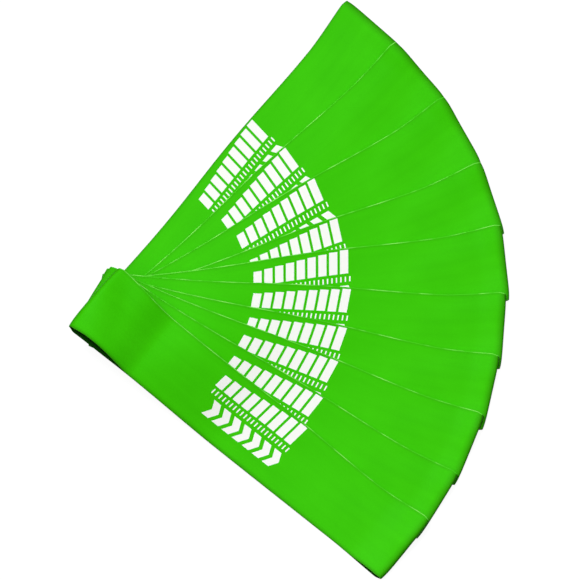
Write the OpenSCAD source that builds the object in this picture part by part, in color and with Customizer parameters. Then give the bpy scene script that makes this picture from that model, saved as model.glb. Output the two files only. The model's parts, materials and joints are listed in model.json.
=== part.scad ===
// Ten latex resistance bands, each a closed flat loop, laid on one another in an open fan.
// Units are millimetres. The fan's pivot is the origin, and the bands rest on z = 0.

/* [Band] */
// Length of a band pressed flat, from fold to fold
band_length = 270; // [200:1:330]
// Width of a band, where it lies flat
band_width = 48.5; // [35:0.5:70]
// Thickness of the latex
wall = 0.7; // [0.4:0.05:1.2]
// Space between the two layers where a band lies flat
layer_gap = 0.2; // [0.1:0.05:0.8]

/* [Folds] */
// Radius of the folds pressed flat under the pile, at the middle of the wall
pressed_fold_r = 0.6; // [0.5:0.05:1.2]
// Radius of the free folds at the outer end, at the middle of the wall
outer_fold_r = 1.3; // [0.6:0.05:3]
// Distance from a fold over which its two layers close up
fold_run = 18; // [12:1:30]
// Radius of the top band's open fold at the pivot
top_fold_r = 4.2; // [1:0.1:8]
// Distance over which the top band closes up behind its open fold
top_fold_run = 48; // [15:1:70]
// How much the open fold swells behind its round
top_fold_swell = 2.1; // [0:0.1:3]
// How far the upper layer's right edge leans in where the open fold gapes
top_fold_lean = 2.3; // [0:0.1:4]
// How much further the left edge widens at the top band's open fold
top_fold_flare = 2.6; // [0:0.1:4]
// How far the open fold runs off square, from its left corner to its right one
top_fold_slant = 1.6; // [0:0.1:4]
// Radius of the top band's fold at its outer end
top_outer_fold_r = 2.2; // [0.8:0.1:5]
// Distance over which the top band closes up at its outer end
top_outer_fold_run = 27; // [12:1:50]
// How far the upper layer's right edge leans in at the top band's outer end
top_outer_fold_lean = 1; // [0:0.1:3]
// How much a band widens on each side at its outer fold
end_flare = 1.6; // [0:0.1:3]
// How much a band widens on each side at its fold near the pivot
pivot_flare = 0.6; // [0:0.1:3]
// Distance from a fold over which a band widens
flare_run = 45; // [20:1:80]
// How far an outer fold runs off square, from its left corner to its right one
end_slant = 1.6; // [0:0.1:4]
// Distance from a fold over which its corners and its slant form
end_run = 18; // [8:1:40]
// How far a fold's corners round off
corner_r = 0.9; // [0:0.1:4]
// Distance from a fold over which a band's sides turn in at its corners
corner_run = 5; // [3:0.5:12]

/* [Edges] */
// How far a band's left edge bows in and out
edge_bow = 0.75; // [0:0.05:2]
// Distance along a band from one inward bow to the next
bow_length = 145; // [60:1:200]
// Distance from the fold at the pivot to the first inward bow
first_bow = 75; // [30:1:100]

/* [Fan] */
// Direction in which the lowest band points
first_angle = 50.75; // [0:0.25:90]
// Angle from the lowest band to the top one
fan_angle = 89.3; // [60:0.1:110]
// Distance that the folds lie behind the pivot
fold_setback = 20; // [10:1:32]
// How far the bands' left edges stray from the pivot
edge_stray = 10; // [0:1:14]

/* [Pile] */
// Clearance between a band and the ones under it
pile_clearance = 0.55; // [0.45:0.05:1]
// Distance over which a band comes down beside another near the pivot
settle_near = 75; // [65:1:100]
// Distance over which a band comes down beside another at the outer end
settle_far = 24; // [22:1:60]

/* [Facets] */
// Strips across a band
strips_across = 6; // [4:1:12]
// Steps along a band, between the lengths that close up at its folds
steps_along = 12; // [12:1:40]
// Steps along each length that closes up
steps_closing = 5; // [3:1:8]
// Steps around each fold
steps_fold = 4; // [3:1:12]

/* [Hidden] */

latex_green = "#3bc903";

// How each band is laid, from the lowest to the top one, as shares of the fan's angle from
// the first band, of the setback of its fold, of how far its left edge strays, of the slant of
// its outer fold, and of how far the top band's fold at the pivot opens, and, in millimetres,
// how far its outer end drifts to the left.
LAY = [
    [0.0000, 1.557,  0.93, 1.35, 0.00,  0.45],
    [0.0860, 1.535, -0.21, 1.10, 0.00,  0.10],
    [0.2210, 1.370, -0.20, 1.00, 0.00,  0.90],
    [0.3410, 1.222, -0.69, 1.20, 0.00,  0.70],
    [0.4775, 1.090,  0.11, 1.00, 0.00,  0.30],
    [0.6005, 1.065,  0.19, 0.80, 0.02,  0.60],
    [0.6985, 1.020, -0.24, 0.65, 0.07,  0.40],
    [0.8055, 0.952, -0.13, 0.75, 0.15, -0.15],
    [0.9130, 0.840, -0.29, 0.85, 0.28,  0.00],
    [1.0000, 0.575, -0.51, 0.65, 1.00,  0.30],
];
top = len(LAY) - 1;

// The steps along a band are shorter near the pivot, where the bands cross, by this share.
step_ratio = 0.6;

// Half the distance between the middles of two layers that lie flat.
flat_half = (wall + layer_gap) / 2;

// Smooth rise from 0 to 1.
function ease(q) = let (c = min(max(q, 0), 1)) c * c * (3 - 2 * c);

function direction(k) = first_angle - LAY[k][0] * fan_angle;
function setback(k) = LAY[k][1] * fold_setback;
function stray(k) = LAY[k][2] * edge_stray;
function slant(k) = LAY[k][3] * end_slant;
function drift(k) = LAY[k][5];

// A fold, by its radius, which two flat layers keep above a least one, by the distance over
// which it closes up, and by its swell.
function fold(r, run, swell = 0) = [max(r, flat_half), run, swell];
function near_fold(k) =
    let (share = LAY[k][4])
    fold(
        pressed_fold_r + share * (top_fold_r - pressed_fold_r),
        fold_run + share * (top_fold_run - fold_run),
        k == top ? top_fold_swell : 0
    );
function far_fold(k) =
    k == top ? fold(top_outer_fold_r, top_outer_fold_run) : fold(outer_fold_r, fold_run);

// How much shorter than its pressed length a band lies, for the latex that goes round a fold
// and up to it.
function taken(fold) =
    let (slope = 1.2 + 0.2 * fold[2] + 0.133 * pow(fold[2], 2))
    (PI / 2 - 1) * (fold[0] - pressed_fold_r) + slope * pow(fold[0] - flat_half, 2) / fold[1];
function laid_length(k) = band_length - taken(near_fold(k)) - taken(far_fold(k));

// Where a fold's round starts, measured from its tip.
function fold_seat(fold) = wall / 2 + fold[0];

// What a fold adds to the half distance between the layers, at distance u from its tip.
function opening(fold, u) =
    let (q = min(max(1 - (u - fold_seat(fold)) / fold[1], 0), 1))
    (fold[0] - flat_half) * (ease(q) + fold[2] * (1 - q) * q * q);

// Half the distance between the middles of the layers of band k, at distance u along it.
function half_gap(k, u) =
    flat_half + opening(near_fold(k), u) + opening(far_fold(k), laid_length(k) - u);

// Whole thickness of band k at distance u along it.
function thickness(k, u) = wall + 2 * half_gap(k, u);

// A point of the plane in band k's own lengths: along it from its fold, and across it.
function along(k, p) = setback(k) + p.x * cos(direction(k)) + p.y * sin(direction(k));
function across(k, p) = stray(k) + p.x * sin(direction(k)) - p.y * cos(direction(k));

// A hump that rises fast behind a fold and is gone at the end of its run.
function hump(q) = q < 1 ? sin(180 * pow(max(q, 0), 0.7)) : 0;

// How far the right edge of band k's upper layer leans in at distance u along it.
function lean(k, u) =
    k < top ? 0
    : top_fold_lean * hump(u / top_fold_run)
      + top_outer_fold_lean * hump((laid_length(k) - u) / top_outer_fold_run);

// The point of the plane at u along and v across band k, on the upper layer where up is 1 and
// on the lower one where it is -1. The ends widen and their corners round off, the outer end
// drifts and its fold slants, as the top band's open fold does, and the left edge bows.
function plan(k, u, v, up) =
    let (
        length = laid_length(k),
        outer = u > length / 2,
        side = (2 * v - band_width) / band_width,
        tip = min(u, length - u),
        end = ease(1 - tip / end_run),
        wide = ease(1 - tip / flare_run),
        back = corner_r * pow(side, 6) * end,
        askew = (outer ? slant(k) : k == top ? top_fold_slant : 0) * side / 2 * end,
        x = u - setback(k) + (outer ? -back : back) - askew,
        leaning = pow(max(side, 0), 3) * (1 + up) / 2 * lean(k, u),
        bow = edge_bow * cos(360 * (u - first_bow) / bow_length) * (1 - side) / 2,
        flare = (outer ? end_flare : pivot_flare) * wide - corner_r * ease(1 - tip / corner_run),
        shift = outer ? drift(k) : LAY[k][4] * top_fold_flare * (1 - side) / 2,
        y = stray(k) - v - bow + shift * wide - flare * side + leaning,
        a = direction(k)
    )
    [x * cos(a) - y * sin(a), x * sin(a) + y * cos(a)];

// 1 over the length or width of a band, falling to 0 beside it.
function beside(x, size, settle) = ease(1 + min(x, size - x) / settle);

// How much of band j's thickness a band on it still has under it at point p.
function cover(j, p) =
    let (
        u = along(j, p),
        length = laid_length(j),
        settle = settle_near + (settle_far - settle_near) * min(max(u / length, 0), 1)
    )
    beside(u, length, settle) * beside(across(j, p), band_width, settle);

// Height of the underside of band k at point p, above the bands under it.
function underside(k, p, j = 0) =
    j >= k ? 0
    : cover(j, p) * (thickness(j, along(j, p)) + pile_clearance) + underside(k, p, j + 1);

// Distances along band k at which its two layers have points.
function stations(k) =
    let (
        a = fold_seat(near_fold(k)),
        b = a + near_fold(k)[1],
        d = laid_length(k) - fold_seat(far_fold(k)),
        c = d - far_fold(k)[1]
    )
    [
        for (i = [0 : steps_closing - 1]) a + (b - a) * i / steps_closing,
        for (i = [0 : steps_along - 1])
            let (q = i / steps_along) b + (c - b) * q * (1 - step_ratio + step_ratio * q),
        for (i = [0 : steps_closing]) c + (d - c) * i / steps_closing,
    ];

// The loop of band k from the side, at the middle of the wall, once round from its lower
// layer: distance along, height over the underside, and the two parts of the outward normal.
function loop(k) =
    let (
        s = stations(k),
        n = len(s) - 1,
        near = near_fold(k)[0],
        far = far_fold(k)[0]
    )
    [
        for (i = [0 : n]) [s[i], wall / 2, 0, -1],
        for (i = [1 : steps_fold - 1])
            let (a = -90 + 180 * i / steps_fold)
            [s[n] + far * cos(a), wall / 2 + far * (1 + sin(a)), cos(a), sin(a)],
        for (i = [n : -1 : 0]) [s[i], wall / 2 + 2 * half_gap(k, s[i]), 0, 1],
        for (i = [1 : steps_fold - 1])
            let (a = 90 - 180 * i / steps_fold)
            [s[0] - near * cos(a), wall / 2 + near * (1 + sin(a)), -cos(a), sin(a)],
    ];

// The points of one skin of band k: the outer one for side 1, and the inner one for side -1.
function skin(k, side) =
    let (half = side * wall / 2)
    [
        for (m = loop(k))
            for (j = [0 : strips_across])
                let (
                    v = band_width * j / strips_across,
                    p = plan(k, m[0] + half * m[2], v, m[3]),
                    base = plan(k, m[0], v, m[3])
                )
                [p.x, p.y, underside(k, base) + m[1] + half * m[3]],
    ];

// The two triangles of a four-sided facet.
function facet(a, b, c, d) = [[a, b, c], [a, c, d]];

// One resistance band: a loop of flat latex tube, folded at both ends and draped on the pile.
module resistance_band(k) {
    columns = strips_across + 1;
    rings = len(loop(k));
    inner = rings * columns;
    facets = [
        for (i = [0 : rings - 1])
            let (a = i * columns, b = (i + 1) % rings * columns, e = strips_across)
            each [
                for (j = [0 : e - 1])
                    each [
                        each facet(a + j, a + j + 1, b + j + 1, b + j),
                        each facet(inner + b + j, inner + b + j + 1, inner + a + j + 1, inner + a + j),
                    ],
                each facet(b, inner + b, inner + a, a),
                each facet(a + e, inner + a + e, inner + b + e, b + e),
            ],
    ];
    color(latex_green) polyhedron(concat(skin(k, 1), skin(k, -1)), facets);
}

resistance_band(0);  // band_01
resistance_band(1);  // band_02
resistance_band(2);  // band_03
resistance_band(3);  // band_04
resistance_band(4);  // band_05
resistance_band(5);  // band_06
resistance_band(6);  // band_07
resistance_band(7);  // band_08
resistance_band(8);  // band_09
resistance_band(9);  // band_10
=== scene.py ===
"""Ten dyed latex loop bands, laid on one another in an open fan, dressed for the studio.

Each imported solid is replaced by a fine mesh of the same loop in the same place: a flat tube of
latex folded at both ends, draped on the bands under it, with rounded cut edges and a printed
stretch gauge. Lengths are in millimetres until a mesh is made, and in metres from there on.
"""

import json
import logging
import math
from dataclasses import dataclass, field
from enum import Enum
from typing import Any

import bpy
import numpy as np
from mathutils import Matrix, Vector

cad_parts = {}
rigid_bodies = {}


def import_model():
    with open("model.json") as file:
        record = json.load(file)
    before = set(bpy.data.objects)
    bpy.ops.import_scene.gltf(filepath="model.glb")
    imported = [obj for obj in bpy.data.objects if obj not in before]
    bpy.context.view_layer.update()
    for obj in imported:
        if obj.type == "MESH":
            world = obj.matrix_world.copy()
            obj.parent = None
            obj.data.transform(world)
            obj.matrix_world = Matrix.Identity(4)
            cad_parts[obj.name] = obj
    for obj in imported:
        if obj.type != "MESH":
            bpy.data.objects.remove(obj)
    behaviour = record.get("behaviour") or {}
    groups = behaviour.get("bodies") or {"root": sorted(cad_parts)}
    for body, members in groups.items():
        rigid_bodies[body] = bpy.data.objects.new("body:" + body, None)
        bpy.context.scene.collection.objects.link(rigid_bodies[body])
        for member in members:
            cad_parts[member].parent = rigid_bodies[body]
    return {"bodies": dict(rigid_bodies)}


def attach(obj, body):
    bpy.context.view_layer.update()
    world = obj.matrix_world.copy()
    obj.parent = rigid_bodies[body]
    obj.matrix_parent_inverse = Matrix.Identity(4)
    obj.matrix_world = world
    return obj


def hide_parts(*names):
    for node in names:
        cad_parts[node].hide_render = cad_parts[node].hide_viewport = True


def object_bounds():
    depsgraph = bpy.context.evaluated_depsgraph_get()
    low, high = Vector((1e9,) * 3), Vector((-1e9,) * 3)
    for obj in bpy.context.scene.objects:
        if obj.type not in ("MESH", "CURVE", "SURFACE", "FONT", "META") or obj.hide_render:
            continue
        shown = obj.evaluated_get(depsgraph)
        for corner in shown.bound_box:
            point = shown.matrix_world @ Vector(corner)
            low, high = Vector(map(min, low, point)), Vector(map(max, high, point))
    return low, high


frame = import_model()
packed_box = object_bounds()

log = logging.getLogger("resistance_bands")

# Metres in a millimetre
MM = 0.001
# Name of the map of a band's surface, in millimetres along and across it
SURFACE_MAP = "surface_mm"
# How far across that map the sides without print lie from the printed one
SURFACE_APART = 200.0


def ease(share: np.ndarray) -> np.ndarray:
    """Rises smoothly from 0 to 1 as share does, and stays there beyond."""
    held = np.clip(share, 0.0, 1.0)
    return held * held * (3.0 - 2.0 * held)


# ---------------------------------------------------------------- the shape of the bands


@dataclass(frozen=True)
class Tube:
    """The flat latex tube that every band is cut from, in millimetres.

    A band widens on each side by the flare at its outer fold and by the pivot flare at the
    other one, its folds' corners round off by the corner, and its left edge bows in and out.
    The powers are how sharply a corner, or the lean of an open fold, sets in across the band.
    """

    length: float = 270.0
    width: float = 48.5
    wall: float = 0.7
    layer_gap: float = 0.2
    flare: float = 1.6
    pivot_flare: float = 0.6
    flare_run: float = 45.0
    end_run: float = 18.0
    corner: float = 0.9
    corner_run: float = 5.0
    corner_power: int = 6
    lean_power: int = 3
    bow: float = 0.75
    bow_length: float = 145.0
    first_bow: float = 75.0

    @property
    def flat_half(self) -> float:
        """Half the distance between the middles of two layers that lie flat."""
        return (self.wall + self.layer_gap) / 2


# Radius of the folds that are pressed flat under the pile, at the middle of the wall
PRESSED_RADIUS = 0.6
# Mean squared slope of a fold's opening over its run: of its ease, of its swell and of the pair
EASE_SLOPE = 1.2
SWELL_SLOPE = 0.133
PAIR_SLOPE = 0.2


@dataclass(frozen=True)
class Fold:
    """A fold at one end of a band, by its radius at the middle of the wall.

    Over its run the two layers close up. The swell holds them apart behind the round, and the
    fullness makes them close later. The lean takes the upper layer's right edge inwards, and
    its skew moves the most of it nearer to the round. The flare takes the left edge outwards,
    and the slant sets the fold off square.
    """

    radius: float
    run: float
    swell: float = 0.0
    lean: float = 0.0
    flare: float = 0.0
    slant: float = 0.0
    fullness: float = 0.0
    lean_skew: float = 0.7

    def seat(self, tube: Tube) -> float:
        """Distance from the fold's tip to where its round starts."""
        return tube.wall / 2 + self.radius

    def opening(self, tube: Tube, u: np.ndarray) -> np.ndarray:
        """Finds how far the fold holds the layers open.

        Args:
            tube: the tube that the band is cut from.
            u: distance from the fold's tip.

        Returns:
            What the fold adds to the half distance between the layers.
        """
        share = np.clip(1 - (u - self.seat(tube)) / self.run, 0, 1)
        share = share * (1 + self.fullness * (1 - share))
        rise = ease(share) + self.swell * (1 - share) * share**2
        return (self.radius - tube.flat_half) * rise

    def leaning(self, u: np.ndarray) -> np.ndarray:
        """How far the upper layer's right edge leans in at distance u from the fold's tip."""
        return self.lean * np.sin(np.pi * np.clip(u / self.run, 0, 1) ** self.lean_skew)

    def taken(self, tube: Tube) -> float:
        """Finds how much shorter a band lies with this fold than with one pressed flat.

        Args:
            tube: the tube that the band is cut from.

        Returns:
            What the latex that climbs to the fold and goes round it takes off the length.
        """
        slope = EASE_SLOPE + PAIR_SLOPE * self.swell + SWELL_SLOPE * self.swell**2
        climb = slope * (self.radius - tube.flat_half) ** 2 / self.run
        return (math.pi / 2 - 1) * (self.radius - PRESSED_RADIUS) + climb


# The outer folds are loose, and the top band's folds stay puffed, with nothing on them
LOOSE = Fold(radius=1.3, run=18.0)
PUFFED = Fold(radius=4.2, run=48.0, swell=2.1, lean=2.3, flare=2.6, slant=1.6, fullness=0.7)
PUFFED_OUTER = Fold(radius=2.2, run=27.0, lean=1.0)


def part_open(share: float) -> Fold:
    """Makes the fold at the pivot of a band that has others on it.

    Args:
        share: how far it is open, from 0 where it is pressed flat to 1 for the top band's.

    Returns:
        The fold, which has no swell, lean or slant.
    """
    radius = PRESSED_RADIUS + share * (PUFFED.radius - PRESSED_RADIUS)
    run = LOOSE.run + share * (PUFFED.run - LOOSE.run)
    return Fold(radius=radius, run=run, flare=share * PUFFED.flare)


@dataclass(frozen=True)
class LaidBand:
    """One band as it lies: its body, its direction, and where its fold and left edge are."""

    body: str
    turn: float
    setback: float
    stray: float
    slant: float
    drift: float
    near: Fold
    far: Fold
    tube: Tube = Tube()

    @property
    def length(self) -> float:
        """The length that the band covers as it lies."""
        return self.tube.length - self.near.taken(self.tube) - self.far.taken(self.tube)

    def along(self, x: np.ndarray, y: np.ndarray) -> np.ndarray:
        """Distance along the band, from its fold at the pivot, of points of the plane."""
        return self.setback + x * math.cos(self.turn) + y * math.sin(self.turn)

    def across(self, x: np.ndarray, y: np.ndarray) -> np.ndarray:
        """Distance across the band, from its left edge, of points of the plane."""
        return self.stray + x * math.sin(self.turn) - y * math.cos(self.turn)

    def half_gap(self, u: np.ndarray) -> np.ndarray:
        """Half the distance between the middles of the two layers at distance u along."""
        near = self.near.opening(self.tube, u)
        return self.tube.flat_half + near + self.far.opening(self.tube, self.length - u)

    def thickness(self, u: np.ndarray) -> np.ndarray:
        """Whole thickness of the band at distance u along it."""
        return self.tube.wall + 2 * self.half_gap(u)

    def plan(self, u: np.ndarray, v: np.ndarray, up: np.ndarray) -> tuple[np.ndarray, np.ndarray]:
        """Finds where points of the band lie in the plane.

        Args:
            u: distance along the band.
            v: distance across it.
            up: 1 on the upper layer, -1 on the lower one, and between them round a fold.

        Returns:
            The x and y of each point.
        """
        tube = self.tube
        side = (2 * v - tube.width) / tube.width
        tip = np.minimum(u, self.length - u)
        end, wide = ease(1 - tip / tube.end_run), ease(1 - tip / tube.flare_run)
        # Along the band: rounded corners and folds off square
        back = tube.corner * side**tube.corner_power * end
        outer = u > self.length / 2
        slant = np.where(outer, self.slant, self.near.slant) * side / 2 * end
        askew = np.where(outer, -back, back) - slant
        forward = u - self.setback + askew
        # Across the band: leaning upper layer, bowed left edge, and wider and drifted ends
        lean = self.near.leaning(u) + self.far.leaning(self.length - u)
        leaning = np.maximum(side, 0) ** tube.lean_power * (1 + up) / 2 * lean
        bow = tube.bow * np.cos(2 * np.pi * (u - tube.first_bow) / tube.bow_length)
        left = self.stray - v - bow * (1 - side) / 2 + leaning
        flare = np.where(outer, tube.flare, tube.pivot_flare) * wide
        flare = flare - tube.corner * ease(1 - tip / tube.corner_run)
        shift = np.where(outer, self.drift, self.near.flare * (1 - side) / 2)
        left = left + shift * wide - flare * side
        cos, sin = math.cos(self.turn), math.sin(self.turn)
        return forward * cos - left * sin, forward * sin + left * cos


@dataclass(frozen=True)
class Pile:
    """The bands from the lowest to the top one, and how each comes down beside the others."""

    bands: tuple[LaidBand, ...]
    clearance: float = 0.55
    settle_near: float = 75.0
    settle_far: float = 24.0

    def cover(self, band: LaidBand, x: np.ndarray, y: np.ndarray) -> np.ndarray:
        """Finds how far a band lifts what lies over it.

        Args:
            band: the band underneath.
            x: the points' place to the right.
            y: the points' place away from the front.

        Returns:
            The share of the band's thickness at each point: 1 on it and 0 well beside it.
        """
        u, v = band.along(x, y), band.across(x, y)
        share = np.clip(u / band.length, 0, 1)
        settle = self.settle_near + (self.settle_far - self.settle_near) * share
        on_length = ease(1 + np.minimum(u, band.length - u) / settle)
        return on_length * ease(1 + np.minimum(v, band.tube.width - v) / settle)

    def underside(self, place: int, x: np.ndarray, y: np.ndarray) -> np.ndarray:
        """Finds the height of a band's underside.

        Args:
            place: the band's place in the pile, from 0 for the lowest.
            x: the points' place to the right.
            y: the points' place away from the front.

        Returns:
            The height over the table at each point.
        """
        height = np.zeros_like(x)
        for band in self.bands[:place]:
            step = band.thickness(band.along(x, y)) + self.clearance
            height += self.cover(band, x, y) * step
        return height


@dataclass(frozen=True)
class Laying:
    """How one band is laid: shares of the fan's sizes, and its outer end's drift in millimetres."""

    turned: float
    setback: float
    stray: float
    slant: float
    opened: float
    drift: float


@dataclass(frozen=True)
class Fan:
    """The fan's angles in degrees and its sizes, and how each band is laid in it.

    A band's fold lies behind the pivot by its setback, its left edge strays from the pivot, and
    its outer fold runs off square by its slant and drifts to the left. The layings go from the
    lowest band to the top one, whose fold at the pivot is open all the way.
    """

    start: float = 50.75
    spread: float = 89.3
    fold_setback: float = 20.0
    edge_stray: float = 10.0
    end_slant: float = 1.6
    layings: tuple[Laying, ...] = (
        Laying(0.0000, 1.557,  0.93, 1.35, 0.00,  0.45),
        Laying(0.0860, 1.535, -0.21, 1.10, 0.00,  0.10),
        Laying(0.2210, 1.370, -0.20, 1.00, 0.00,  0.90),
        Laying(0.3410, 1.222, -0.69, 1.20, 0.00,  0.70),
        Laying(0.4775, 1.090,  0.11, 1.00, 0.00,  0.30),
        Laying(0.6005, 1.065,  0.19, 0.80, 0.02,  0.60),
        Laying(0.6985, 1.020, -0.24, 0.65, 0.07,  0.40),
        Laying(0.8055, 0.952, -0.13, 0.75, 0.15, -0.15),
        Laying(0.9130, 0.840, -0.29, 0.85, 0.28,  0.00),
        Laying(1.0000, 0.575, -0.51, 0.65, 1.00,  0.30),
    )

    def lay(self, bodies: list[str]) -> Pile:
        """Lays one band for each body, from the lowest to the top one.

        Args:
            bodies: the bodies' names, in the order of the pile.

        Returns:
            The pile, whose top band has the puffed folds.
        """
        bands = []
        for body, laying in zip(bodies, self.layings, strict=True):
            top = body == bodies[-1]
            bands.append(
                LaidBand(
                    body=body,
                    turn=math.radians(self.start - laying.turned * self.spread),
                    setback=laying.setback * self.fold_setback,
                    stray=laying.stray * self.edge_stray,
                    slant=laying.slant * self.end_slant,
                    drift=laying.drift,
                    near=PUFFED if top else part_open(laying.opened),
                    far=PUFFED_OUTER if top else LOOSE,
                )
            )
        return Pile(tuple(bands))


class Face(Enum):
    """The faces of a band that take a finish of their own, by material slot."""

    SKIN = 0
    INSIDE = 1
    # The edge finishes are lit and shaded copies of one cut edge: painted shade on the cut and
    # rubbed ones, a painted highlight on the powdered one
    CUT_EDGE = 2
    RUBBED_EDGE = 3
    POWDERED_EDGE = 4


@dataclass
class LoopBand:
    """Builds and dresses one band: a strip with rounded edges, swept once round its loop.

    The closing and the flat step are the distances between rings near the folds and between
    them. The columns crowd towards the edges, the rim is how far a cut edge rounds off, and the
    lip is the strip of skin beside it that takes the powdered edge: powder with a painted
    highlight.
    """

    pile: Pile
    place: int
    closing_step: float = 1.5
    flat_step: float = 3.0
    fold_steps: int = 12
    columns: int = 28
    edge_crowding: float = 0.5
    rim: float = 0.3
    rim_steps: int = 4
    lip: float = 0.3
    band: LaidBand = field(init=False)

    def __post_init__(self) -> None:
        """Takes the band from its place in the pile."""
        self.band = self.pile.bands[self.place]

    def stations(self) -> np.ndarray:
        """Places the points of the two layers, closer together near the folds.

        Returns:
            Their distances along the band.
        """
        band, tube = self.band, self.band.tube
        start, stop = band.near.seat(tube), band.length - band.far.seat(tube)
        ends = [start, start + band.near.run, stop - band.far.run, stop]
        steps = (self.closing_step, self.flat_step, self.closing_step)
        spans = [
            np.linspace(low, high, max(2, round((high - low) / step)), endpoint=False)
            for low, high, step in zip(ends, ends[1:], steps)
        ]
        return np.concatenate([*spans, ends[-1:]])

    def loop(self) -> np.ndarray:
        """Goes once round the band from the side, at the middle of the wall.

        Returns:
            A row for each ring: distance along, height over the underside, and the outward
            normal's two parts.
        """
        near, far, flat = self.band.near.radius, self.band.far.radius, self.band.tube.wall / 2
        s = self.stations()
        around = np.pi * np.arange(1, self.fold_steps) / self.fold_steps - np.pi / 2
        down, zero, one = around[::-1], np.zeros_like(s), np.ones_like(s)
        cos, sin = np.cos(around), np.sin(around)
        lower = np.stack([s, zero + flat, zero, -one], 1)
        outer = np.stack([s[-1] + far * cos, flat + far * (1 + sin), cos, sin], 1)
        upper = np.stack([s, flat + 2 * self.band.half_gap(s), zero, one], 1)[::-1]
        cos, sin = np.cos(down), np.sin(down)
        inner = np.stack([s[0] - near * cos, flat + near * (1 + sin), -cos, sin], 1)
        return np.concatenate([lower, outer, upper, inner])

    def section(self) -> tuple[np.ndarray, np.ndarray]:
        """Goes once round the cut across one layer, which has rounded edges.

        Returns:
            The distance across and the offset from the middle of the wall of each point.
        """
        tube, half, rim = self.band.tube, self.band.tube.wall / 2, self.rim
        even = np.linspace(0, 1, self.columns)
        crowded = (1 - np.cos(np.pi * even)) / 2
        spread = (1 - self.edge_crowding) * even + self.edge_crowding * crowded
        lips = [rim + self.lip, tube.width - rim - self.lip]
        flat = np.sort(np.concatenate([rim + (tube.width - 2 * rim) * spread, lips]))
        turn = np.pi / 2 - np.pi * np.arange(1, self.rim_steps) / self.rim_steps
        bulge = rim * np.cos(turn)
        across = [flat, tube.width - rim + bulge, flat[::-1], rim - bulge]
        offset = [half + 0 * flat, half * np.sin(turn), 0 * flat - half, -half * np.sin(turn)]
        return np.concatenate(across), np.concatenate(offset)

    def lower_rings(self) -> int:
        """How many of the loop's rings are on the lower layer and the lower half of its fold."""
        return len(self.stations()) + self.fold_steps // 2

    def build(self) -> bpy.types.Object:
        """Makes the band's object.

        Returns:
            The object, with a map of its surface in millimetres for the printed patterns.
        """
        ring, (v, w) = self.loop(), self.section()
        u, height, out, up = (ring[:, i, None] for i in range(4))
        base_x, base_y = self.band.plan(u + 0 * v, v + 0 * u, up + 0 * v)
        x, y = self.band.plan(u + w * out, v + 0 * u, up + 0 * v)
        z = self.pile.underside(self.place, base_x, base_y) + height + w * up
        points = np.stack([x, y, z], -1).reshape(-1, 3) * MM
        rings, sides = x.shape
        here = np.arange(rings)[:, None] * sides + np.arange(sides)
        over = np.roll(here, -1, 0)
        quads = np.stack([here, np.roll(here, -1, 1), np.roll(over, -1, 1), over], -1)
        mesh = bpy.data.meshes.new(f"{self.band.body}_loop")
        mesh.from_pydata(points, [], quads.reshape(-1, 4).tolist())
        self.map_surface(mesh, u[:, 0], v, w, quads)
        mesh.polygons.foreach_set("use_smooth", np.ones(len(mesh.polygons), bool))
        mesh.update()
        piece = bpy.data.objects.new(f"{self.band.body}_loop", mesh)
        bpy.context.scene.collection.objects.link(piece)
        return piece

    def map_surface(
        self, mesh: bpy.types.Mesh, u: np.ndarray, v: np.ndarray, w: np.ndarray, quads: np.ndarray
    ) -> None:
        """Writes the surface map: millimetres along and across, far off on unprinted sides.

        Distances along are stretched a little to the tube's own length, so that both folds'
        tips have the same place on every band's map.

        Args:
            mesh: the band's mesh.
            u: distance along, of each ring.
            v: distance across, of each point of a ring.
            w: offset from the middle of the wall, of each point of a ring.
            quads: the corners of each face, by ring and by side.
        """
        sides = len(v)
        hidden = (np.arange(len(u)) < self.lower_rings()) * SURFACE_APART
        inside = (w + np.roll(w, -1) < 0) * SURFACE_APART
        stretch = self.band.tube.length / self.band.length
        along = (u * stretch)[quads // sides]
        across = v[quads % sides] + hidden[:, None, None] + inside[None, :, None]
        layer = mesh.uv_layers.new(name=SURFACE_MAP)
        layer.data.foreach_set("uv", np.stack([along, across], -1).astype(np.float32).ravel())

    def faces(self) -> np.ndarray:
        """Sorts the faces of the mesh by their finish.

        The lowest band's left edge, and the right edges of every band's lower layer, take the dark
        cut edge, which is painted shade. The other bands' upper left edges, with a lip of the skin,
        take the pale powdered edge, powder with a painted highlight, and the other edges take the
        rubbed one, powder with painted shade. So the lower layers' edges are painted a step darker
        than the upper ones', as painted shade.

        Returns:
            The number of the finish of each face, by ring and by side.
        """
        (v, w), rings = self.section(), len(self.loop())
        width, half = self.band.tube.width, self.band.tube.wall / 2
        middle, level = (v + np.roll(v, -1)) / 2, (w + np.roll(w, -1)) / 2
        kinds = {
            Face.INSIDE: level < -half / 2,
            Face.POWDERED_EDGE: (middle < self.rim + self.lip) & (self.place > 0),
            Face.CUT_EDGE: middle < self.rim,
            Face.RUBBED_EDGE: width - middle < self.rim,
        }
        numbers = [kind.value for kind in kinds]
        around = np.select(list(kinds.values()), numbers, Face.SKIN.value)
        found = np.tile(around, (rings, 1))
        # Painted shade: on the lower layer each edge finish steps down to the next darker one
        lower = found[: self.lower_rings()]
        lower[lower == Face.RUBBED_EDGE.value] = Face.CUT_EDGE.value
        lower[lower == Face.POWDERED_EDGE.value] = Face.RUBBED_EDGE.value
        return found

    def dress(self, piece: bpy.types.Object, finishes: dict[Face, bpy.types.Material]) -> None:
        """Gives the band's object its finishes.

        Args:
            piece: the band's object.
            finishes: the material of each kind of face.
        """
        for kind in Face:
            piece.data.materials.append(finishes[kind])
        numbers = self.faces().ravel().astype(np.int32)
        piece.data.polygons.foreach_set("material_index", numbers)
        piece.data.update()


# ---------------------------------------------------------------- finishes


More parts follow.
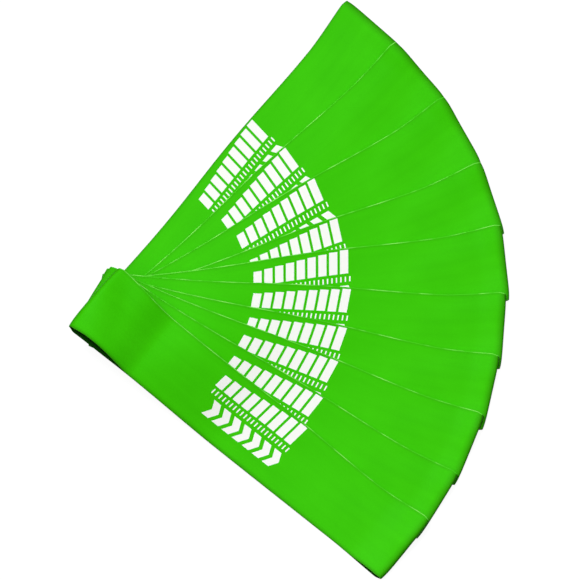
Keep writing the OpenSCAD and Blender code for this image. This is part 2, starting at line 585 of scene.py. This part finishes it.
def linear(code: str) -> tuple[float, float, float, float]:
    """Turns a colour to linear light.

    Args:
        code: the colour as an sRGB hex value, such as "#3bc903".

    Returns:
        Its linear red, green and blue, and 1 for its alpha.
    """
    parts = [int(code[i : i + 2], 16) / 255 for i in (1, 3, 5)]
    light = [c / 12.92 if c <= 0.04045 else ((c + 0.055) / 1.055) ** 2.4 for c in parts]
    return (*light, 1.0)


def new_material(name: str) -> bpy.types.Material:
    """Makes a material with an empty node tree.

    Args:
        name: the material's name.

    Returns:
        The material.
    """
    made = bpy.data.materials.new(name)
    made.use_nodes = True
    made.node_tree.nodes.clear()
    return made


def add_node(
    tree: bpy.types.NodeTree, kind: str, sockets: dict[Any, Any] | None = None, **settings: Any
) -> bpy.types.Node:
    """Adds a node to a tree.

    Args:
        tree: the node tree.
        kind: the node's type.
        sockets: its inputs, each a value to set or an output socket to link.
        **settings: its own properties.

    Returns:
        The node.
    """
    node = tree.nodes.new(kind)
    for name, value in settings.items():
        setattr(node, name, value)
    for name, value in (sockets or {}).items():
        if isinstance(value, bpy.types.NodeSocket):
            tree.links.new(value, node.inputs[name])
        else:
            node.inputs[name].default_value = value
    return node


def math_node(tree: bpy.types.NodeTree, operation: str, *values: Any) -> bpy.types.NodeSocket:
    """Adds one step of arithmetic on sockets or numbers, and returns its result."""
    sockets = dict(enumerate(values))
    return add_node(tree, "ShaderNodeMath", sockets, operation=operation).outputs[0]


def within(tree: bpy.types.NodeTree, value: Any, low: Any, high: Any) -> bpy.types.NodeSocket:
    """1 where value is from low to high, and 0 elsewhere."""
    above = math_node(tree, "GREATER_THAN", value, low)
    return math_node(tree, "MULTIPLY", above, math_node(tree, "LESS_THAN", value, high))


@dataclass(frozen=True)
class BarRow:
    """A row of slanted printed bars, in millimetres along and across the band.

    Each bar is taller than the one before by the growth, and the chevron bends it at half its
    height by that much for each millimetre from there.
    """

    start: float
    bars: int
    pitch: float
    bar: float
    top: float
    bottom: float
    growth: float = 0.0
    chevron: float = 0.0

    def mask(
        self, tree: bpy.types.NodeTree, along: bpy.types.NodeSocket, across: bpy.types.NodeSocket
    ) -> bpy.types.NodeSocket:
        """Makes the row's ink mask.

        Args:
            tree: the material's node tree.
            along: distance along the band, slanted.
            across: distance across it.

        Returns:
            1 on the ink and 0 beside it.
        """
        middle = math_node(tree, "SUBTRACT", across, (self.top + self.bottom) / 2)
        bend = math_node(tree, "MULTIPLY", math_node(tree, "ABSOLUTE", middle), self.chevron)
        inner = math_node(tree, "SUBTRACT", math_node(tree, "ADD", along, bend), self.start)
        place = math_node(tree, "FLOOR", math_node(tree, "DIVIDE", inner, self.pitch))
        phase = math_node(tree, "FLOORED_MODULO", inner, self.pitch)
        top = math_node(tree, "MULTIPLY_ADD", place, -self.growth, self.top)
        ink = math_node(tree, "LESS_THAN", phase, self.bar)
        ink = math_node(tree, "MULTIPLY", ink, within(tree, place, -0.5, self.bars - 0.5))
        return math_node(tree, "MULTIPLY", ink, within(tree, across, top, self.bottom))


@dataclass(frozen=True)
class StretchGauge:
    """A generic gauge for how far a band is pulled: growing bars, a fine scale and chevrons.

    It is screen printed in opaque white, so it is flat and bright, and its rims are a little
    ragged where the ink caught on the powder.
    """

    ink: str = "#fdfffa"
    slant_degrees: float = 8.0
    ragged: float = 0.25
    rows: tuple[BarRow, ...] = (
        BarRow(start=103.0, bars=9, pitch=7.3, bar=5.5, top=7.3, bottom=16.8, growth=0.75),
        BarRow(start=104.5, bars=22, pitch=3.0, bar=0.9, top=18.8, bottom=22.2),
        BarRow(start=113.0, bars=7, pitch=8.6, bar=5.6, top=24.6, bottom=36.6, chevron=0.55),
    )

    def mask(
        self, tree: bpy.types.NodeTree, u: bpy.types.NodeSocket, v: bpy.types.NodeSocket
    ) -> bpy.types.NodeSocket:
        """Makes the ink mask of the whole gauge.

        Args:
            tree: the material's node tree.
            u: distance along the band.
            v: distance across it.

        Returns:
            1 on the ink of any row and 0 beside it.
        """
        lean = math.tan(math.radians(self.slant_degrees))
        along = math_node(tree, "MULTIPLY_ADD", v, lean, u)
        masks = [row.mask(tree, along, v) for row in self.rows]
        total = masks[0]
        for mask in masks[1:]:
            total = math_node(tree, "MAXIMUM", total, mask)
        return total


@dataclass(frozen=True)
class Latex:
    """What every surface of natural rubber latex shares, dyed in the mix and opaque.

    Its refractive index is that of rubber, and the powder on it takes most of its gloss.
    """

    roughness: float = 0.7
    ior: float = 1.52
    specular: float = 0.03

    def surface(self, tree: bpy.types.NodeTree, sockets: dict[str, Any]) -> None:
        """Adds the latex shader and the output.

        Args:
            tree: the material's node tree.
            sockets: the shader's inputs that are the finish's own, such as its colour.
        """
        shared = {
            "Roughness": self.roughness,
            "IOR": self.ior,
            "Specular IOR Level": self.specular,
        }
        latex = add_node(tree, "ShaderNodeBsdfPrincipled", shared | sockets)
        add_node(tree, "ShaderNodeOutputMaterial", {0: latex.outputs[0]})


@dataclass(frozen=True)
class DippedLatex(Latex):
    """The outer skin of the latex, dipped on a former, dusted with powder and printed.

    The film is satin and slightly powdered, so its gloss is weak and wide. Its colour drifts a
    little where the film is thicker or more powdered, and painted shade darkens it where the
    film turns round a fold and along its edges. Each such place has how far the painted shade
    reaches in millimetres and how much of the shade's colour shows where it is darkest.
    """

    deep: str = "#38c402"
    body: str = "#3bc903"
    bright: str = "#3ece05"
    # Painted shade at the folds and edges: its colour, each place's reach and depth, and its
    # fall-off
    painted_shade: str = "#2a7c02"
    rolled_fold_shade: tuple[float, float] = (4.5, 0.85)
    pressed_fold_shade: tuple[float, float] = (7.0, 1.0)
    left_edge_shade: tuple[float, float] = (3.0, 0.45)
    right_edge_shade: tuple[float, float] = (3.5, 0.85)
    painted_shade_power: float = 2.0
    roughness: float = 0.52
    cloud: float = 38.0
    cloud_share: float = 0.55
    streak: float = 5.0
    streak_stretch: float = 12.0
    streak_share: float = 0.30
    powder: float = 1.6
    powder_share: float = 0.15
    noise_detail: float = 2.0
    noise_apart: float = 7.0
    deep_at: float = 0.34
    bright_at: float = 0.66
    grain_height: float = 0.04
    grain_strength: float = 0.35
    gauge: StretchGauge = StretchGauge()

    def material(self) -> bpy.types.Material:
        """Makes the material of a band's outer skin, with its printed gauge.

        Returns:
            The material.
        """
        made = new_material("dipped_latex_green")
        tree = made.node_tree
        surface = add_node(tree, "ShaderNodeUVMap", uv_map=SURFACE_MAP).outputs["UV"]
        parts = add_node(tree, "ShaderNodeSeparateXYZ", {0: surface}).outputs
        noise = self.noises(tree, parts["X"], parts["Y"])
        shares = {
            "cloud": self.cloud_share,
            "streak": self.streak_share,
            "powder": self.powder_share,
        }
        shade = 0.0
        for name, share in shares.items():
            shade = math_node(tree, "MULTIPLY_ADD", noise[name], share, shade)
        ramp = add_node(tree, "ShaderNodeValToRGB", {0: shade})
        stops = ramp.color_ramp.elements
        stops[0].position, stops[0].color = self.deep_at, linear(self.deep)
        stops[1].position, stops[1].color = self.bright_at, linear(self.bright)
        stops.new((self.deep_at + self.bright_at) / 2).color = linear(self.body)
        wander = math_node(tree, "SUBTRACT", noise["powder"], 0.5)
        ragged_v = math_node(tree, "MULTIPLY_ADD", wander, self.gauge.ragged, parts["Y"])
        ink = self.gauge.mask(tree, parts["X"], ragged_v)
        # Painted shade: the dye's tones are mixed towards the shade colour at the folds and edges
        painted_shade_share = self.painted_shade_share(tree, parts["X"], parts["Y"])
        film = {0: painted_shade_share, 6: ramp.outputs["Color"], 7: linear(self.painted_shade)}
        dyed = add_node(tree, "ShaderNodeMix", film, data_type="RGBA").outputs[2]
        printed = {0: ink, 6: dyed, 7: linear(self.gauge.ink)}
        colour = add_node(tree, "ShaderNodeMix", printed, data_type="RGBA").outputs[2]
        grain = {
            "Height": noise["powder"],
            "Strength": self.grain_strength,
            "Distance": self.grain_height * MM,
        }
        bump = add_node(tree, "ShaderNodeBump", grain)
        self.surface(tree, {"Base Color": colour, "Normal": bump.outputs[0]})
        return made

    def painted_shade_share(
        self, tree: bpy.types.NodeTree, u: bpy.types.NodeSocket, v: bpy.types.NodeSocket
    ) -> bpy.types.NodeSocket:
        """Finds where painted shade darkens the film: at the folds and along the edges.

        Args:
            tree: the material's node tree.
            u: distance along the band.
            v: distance across it.

        Returns:
            How much of the painted shade's colour shows, from 0 to 1.
        """
        tube = Tube()
        across = math_node(tree, "FLOORED_MODULO", v, SURFACE_APART)
        places = (
            (u, self.rolled_fold_shade),
            (math_node(tree, "SUBTRACT", tube.length, u), self.pressed_fold_shade),
            (across, self.left_edge_shade),
            (math_node(tree, "SUBTRACT", tube.width, across), self.right_edge_shade),
        )
        deepest = 0.0
        for distance, (reach, depth) in places:
            fall = add_node(tree, "ShaderNodeMapRange", {0: distance, 2: reach, 3: 1.0, 4: 0.0})
            near = math_node(tree, "POWER", fall.outputs[0], self.painted_shade_power)
            near = math_node(tree, "MULTIPLY", near, depth)
            deepest = math_node(tree, "MAXIMUM", deepest, near)
        return deepest

    def noises(
        self, tree: bpy.types.NodeTree, u: bpy.types.NodeSocket, v: bpy.types.NodeSocket
    ) -> dict[str, bpy.types.NodeSocket]:
        """Makes the film's clouds, its dipping streaks and its powder grain.

        The grain of real powder is too fine to show, so it is drawn many times coarser.

        Args:
            tree: the material's node tree.
            u: distance along the band.
            v: distance across it.

        Returns:
            The three patterns by name, each from 0 to 1.
        """
        sizes = {
            "cloud": (self.cloud, self.cloud),
            "streak": (self.streak * self.streak_stretch, self.streak),
            "powder": (self.powder, self.powder),
        }
        found = {}
        for name, (long, wide) in sizes.items():
            x = math_node(tree, "DIVIDE", u, long)
            y = math_node(tree, "DIVIDE", v, wide)
            place = {0: x, 1: y, 2: len(found) * self.noise_apart}
            at = add_node(tree, "ShaderNodeCombineXYZ", place)
            sockets = {"Vector": at.outputs[0], "Scale": 1.0, "Detail": self.noise_detail}
            found[name] = add_node(tree, "ShaderNodeTexNoise", sockets).outputs[0]
        return found


@dataclass(frozen=True)
class InnerLatex(Latex):
    """The skin that dried on the former, which is never powdered.

    It is matt, and its near-black green is painted shade, so the mouth of a fold goes deep green to
    black.
    """

    # Painted shade: the inside is coloured near black because it only ever lies in shade
    body: str = "#0e4304"
    specular: float = 0.01

    def material(self) -> bpy.types.Material:
        """Makes the material of the inside of a band.

        Returns:
            The material.
        """
        made = new_material("inside_latex_painted_shade")
        self.surface(made.node_tree, {"Base Color": linear(self.body)})
        return made


@dataclass(frozen=True, kw_only=True)
class CutLatex(Latex):
    """The knife-cut edge of the same latex.

    It is rough and holds powder, so it shows as a line that is paler the more it is rubbed, and
    that comes and goes along the band in patches. Each copy's greens also carry painted light:
    painted shade on the cut and rubbed edges, and a painted highlight on the powdered one.
    """

    name: str
    rubbed: str
    powdered: str
    patch: float = 16.0
    rubbed_at: float = 0.45
    powdered_at: float = 0.65

    def material(self) -> bpy.types.Material:
        """Makes the material of a cut edge, whose patches differ from band to band.

        Returns:
            The material.
        """
        made = new_material(self.name)
        tree = made.node_tree
        surface = add_node(tree, "ShaderNodeUVMap", uv_map=SURFACE_MAP).outputs["UV"]
        u = add_node(tree, "ShaderNodeSeparateXYZ", {0: surface}).outputs["X"]
        length = math_node(tree, "DIVIDE", u, self.patch)
        own = add_node(tree, "ShaderNodeObjectInfo").outputs["Random"]
        at = add_node(tree, "ShaderNodeCombineXYZ", {0: length, 1: own})
        powder = add_node(tree, "ShaderNodeTexNoise", {"Vector": at.outputs[0], "Scale": 1.0})
        ramp = add_node(tree, "ShaderNodeValToRGB", {0: powder.outputs[0]})
        stops = ramp.color_ramp.elements
        stops[0].position, stops[0].color = self.rubbed_at, linear(self.rubbed)
        stops[1].position, stops[1].color = self.powdered_at, linear(self.powdered)
        self.surface(tree, {"Base Color": ramp.outputs["Color"]})
        return made


def band_finishes() -> dict[Face, bpy.types.Material]:
    """Makes the finishes that all the bands share.

    Returns:
        The material of each kind of face.
    """
    # Painted light: the cut edge's dark greens are painted shade, the rubbed edge's are powder with
    # painted shade, and the powdered edge's pale greens are powder with a painted highlight
    cut = CutLatex(name="cut_edge_painted_shade", rubbed="#1f6c04", powdered="#268205")
    rubbed = CutLatex(name="rubbed_edge_dust_and_shade", rubbed="#3aa814", powdered="#52c42c")
    powdered = CutLatex(name="powdered_edge_dust_and_highlight", rubbed="#48cf1e", powdered="#8cf062")
    return {
        Face.SKIN: DippedLatex().material(),
        Face.INSIDE: InnerLatex().material(),
        Face.CUT_EDGE: cut.material(),
        Face.RUBBED_EDGE: rubbed.material(),
        Face.POWDERED_EDGE: powdered.material(),
    }


# ---------------------------------------------------------------- studio


@dataclass(frozen=True)
class Studio:
    """A white table under soft light from above and the far left, seen from almost overhead.

    The table lies a hair under the bands, shows white by a glow that lights nothing, and throws
    little light back. Heights in the sky go from 0 at the horizon to 1 overhead.
    """

    picture_side: float = 386.7
    elevation: float = 80.0
    lens: float = 400.0
    sensor: float = 36.0
    aim: tuple[float, float] = (104.4, -5.5)
    clip_shares: tuple[float, float] = (0.01, 10.0)
    table_side: float = 6000.0
    table_drop: float = 0.1
    table_bounce: float = 0.12
    table_glow: float = 0.93
    sky: float = 0.536
    sky_dark_below: float = 0.3
    sky_full_above: float = 0.95
    key: float = 0.68
    key_from: tuple[float, float, float] = (-0.32, 0.40, 1.0)
    key_spread: float = 30.0

    def build(self) -> None:
        """Makes the table, the lights and the camera."""
        self.table()
        self.sky_light()
        self.key_light()
        self.camera()
        bpy.context.scene.view_settings.view_transform = "Standard"

    def seen_directly(self, tree: bpy.types.NodeTree) -> bpy.types.NodeSocket:
        """Finds the rays that show a surface as it is, to the camera or by gloss or glass.

        Args:
            tree: the node tree of the surface or of the sky.

        Returns:
            1 on those rays and 0 on the ones that carry light to the bands.
        """
        path = add_node(tree, "ShaderNodeLightPath").outputs
        shown = math_node(tree, "MAXIMUM", path["Is Camera Ray"], path["Is Glossy Ray"])
        return math_node(tree, "MAXIMUM", shown, path["Is Transmission Ray"])

    def table(self) -> None:
        """Makes the matt white table, which takes the bands' shadow and throws little back."""
        half = self.table_side * MM / 2
        corners = [(-half, -half), (half, -half), (half, half), (-half, half)]
        mesh = bpy.data.meshes.new("table")
        mesh.from_pydata([(x, y, -self.table_drop * MM) for x, y in corners], [], [(0, 1, 2, 3)])
        top = bpy.data.objects.new("table", mesh)
        bpy.context.scene.collection.objects.link(top)
        made = new_material("white_table")
        tree = made.node_tree
        bounce = (self.table_bounce,) * 3 + (1.0,)
        matt = add_node(tree, "ShaderNodeBsdfDiffuse", {"Color": bounce})
        shown = math_node(tree, "MULTIPLY", self.seen_directly(tree), self.table_glow)
        glow = add_node(tree, "ShaderNodeEmission", {"Strength": shown})
        both = add_node(tree, "ShaderNodeAddShader", {0: matt.outputs[0], 1: glow.outputs[0]})
        add_node(tree, "ShaderNodeOutputMaterial", {0: both.outputs[0]})
        mesh.materials.append(made)

    def sky_light(self) -> None:
        """Makes the sky, which darkens towards the horizon and shows as plain white."""
        world = bpy.data.worlds.new("studio_sky")
        world.use_nodes = True
        tree = world.node_tree
        tree.nodes.clear()
        place = add_node(tree, "ShaderNodeTexCoord").outputs["Generated"]
        up = add_node(tree, "ShaderNodeSeparateXYZ", {0: place}).outputs["Z"]
        rise = {0: up, 1: self.sky_dark_below, 2: self.sky_full_above, 3: 0.0, 4: self.sky}
        sky = add_node(tree, "ShaderNodeMapRange", rise)
        seen = self.seen_directly(tree)
        strength = add_node(tree, "ShaderNodeMix", {0: seen, 2: sky.outputs[0], 3: 1.0})
        white = {"Color": (1.0, 1.0, 1.0, 1.0), "Strength": strength.outputs[0]}
        back = add_node(tree, "ShaderNodeBackground", white)
        add_node(tree, "ShaderNodeOutputWorld", {0: back.outputs[0]})
        bpy.context.scene.world = world

    def key_light(self) -> None:
        """Makes the soft key light, whose strength is what it gives a level surface."""
        low, high = packed_box
        lamp = bpy.data.lights.new("key_light", "SUN")
        towards = Vector(self.key_from).normalized()
        lamp.energy = self.key * math.pi / towards.z
        lamp.angle = math.radians(self.key_spread)
        key = bpy.data.objects.new("key_light", lamp)
        key.location = Vector(((low.x + high.x) / 2, (low.y + high.y) / 2, 0.0)) + towards
        key.rotation_euler = (-towards).to_track_quat("-Z", "Y").to_euler()
        bpy.context.scene.collection.objects.link(key)

    def camera(self) -> None:
        """Makes the long-lens camera, which looks almost straight down on the fan."""
        data = bpy.data.cameras.new("camera")
        data.lens, data.sensor_width = self.lens, self.sensor
        distance = self.picture_side * MM * self.lens / self.sensor
        data.clip_start, data.clip_end = (share * distance for share in self.clip_shares)
        lift = math.radians(self.elevation)
        back = Vector((0.0, -math.cos(lift), math.sin(lift)))
        camera = bpy.data.objects.new("camera", data)
        camera.location = Vector((*self.aim, 0.0)) * MM + back * distance
        camera.rotation_euler = (-back).to_track_quat("-Z", "Y").to_euler()
        bpy.context.scene.collection.objects.link(camera)
        bpy.context.scene.camera = camera


# ---------------------------------------------------------------- the whole


def main() -> None:
    """Lays the bands, builds and dresses each one, and sets up the studio."""
    logging.basicConfig(level=logging.INFO, format="%(name)s: %(message)s")
    pile = Fan().lay(sorted(frame["bodies"]))
    finishes = band_finishes()
    for place, band in enumerate(pile.bands):
        loop_band = LoopBand(pile, place)
        piece = loop_band.build()
        loop_band.dress(piece, finishes)
        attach(piece, band.body)
        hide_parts(band.body)
        log.info("%s: %d faces", piece.name, len(piece.data.polygons))
    Studio().build()


if __name__ == "__main__":
    main()
